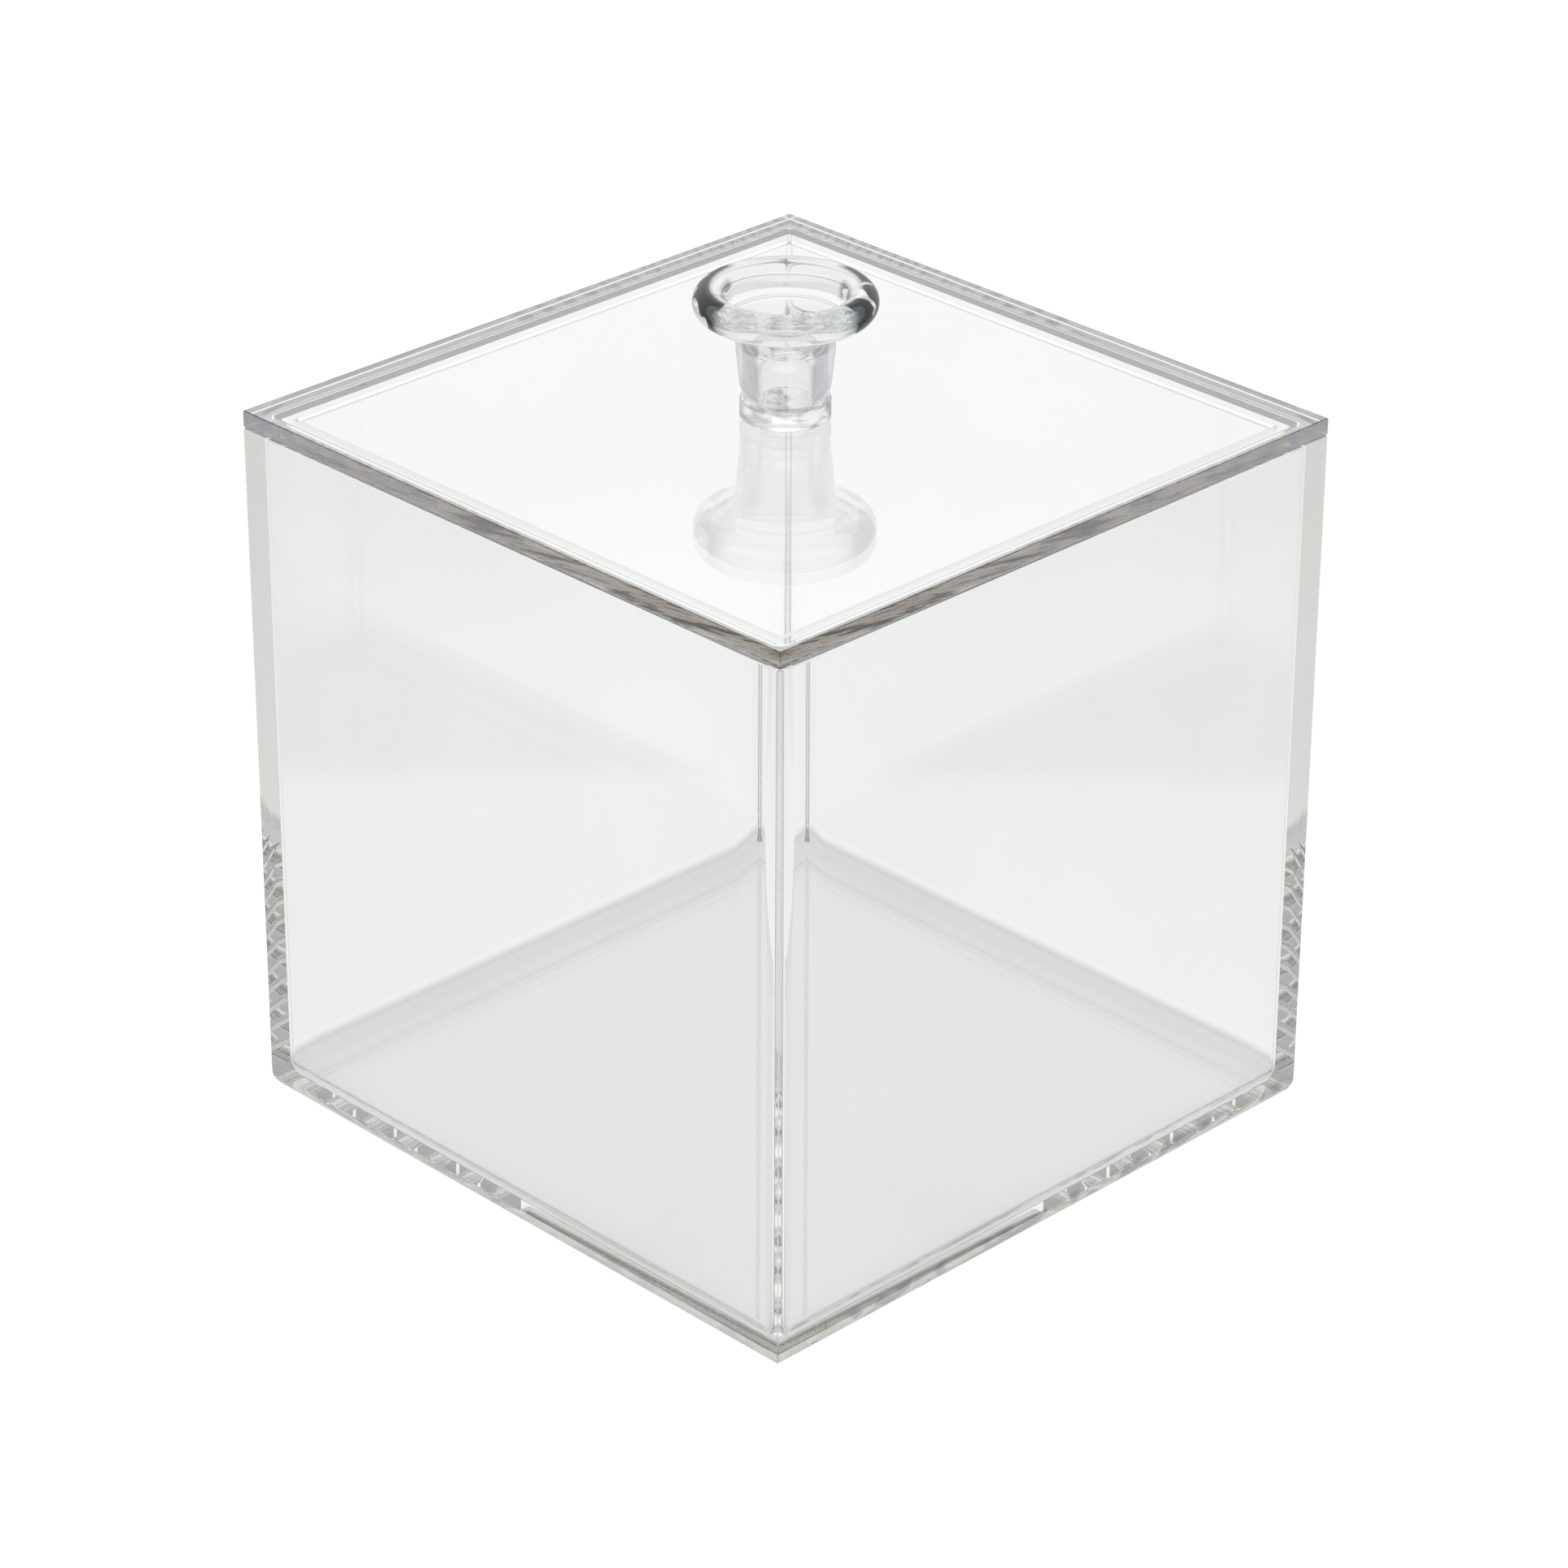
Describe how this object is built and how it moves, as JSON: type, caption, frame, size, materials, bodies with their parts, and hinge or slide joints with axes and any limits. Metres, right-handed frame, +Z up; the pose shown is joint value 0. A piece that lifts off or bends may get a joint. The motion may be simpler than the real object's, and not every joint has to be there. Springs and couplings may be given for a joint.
{
  "type": "lidded display cube",
  "caption": "Clear acrylic display cube with a loose flat lid, lifted off by a hollow round pull knob.",
  "frame": {"origin": "centre of the box's underside, on the surface it stands on", "axes": "+Z up, the way the lid lifts off; +X and +Y square to the walls, all four of which are alike"},
  "size_m": [0.1016, 0.1016, 0.1222],
  "materials": {
    "clear_acrylic": "polished, colourless and transparent",
    "clear_acrylic_sheet": "polished faces, finely streaked sawn edges"
  },
  "bodies": {
    "box": {"box_shell": "clear_acrylic"},
    "lid": {"lid_plate": "clear_acrylic_sheet", "pull_knob": "clear_acrylic"}
  },
  "joints": [
    {"name": "lid_lift", "type": "slide", "parent": "box", "child": "lid", "axis": [0, 0, 1], "range_m": [0, 0.11]}
  ]
}
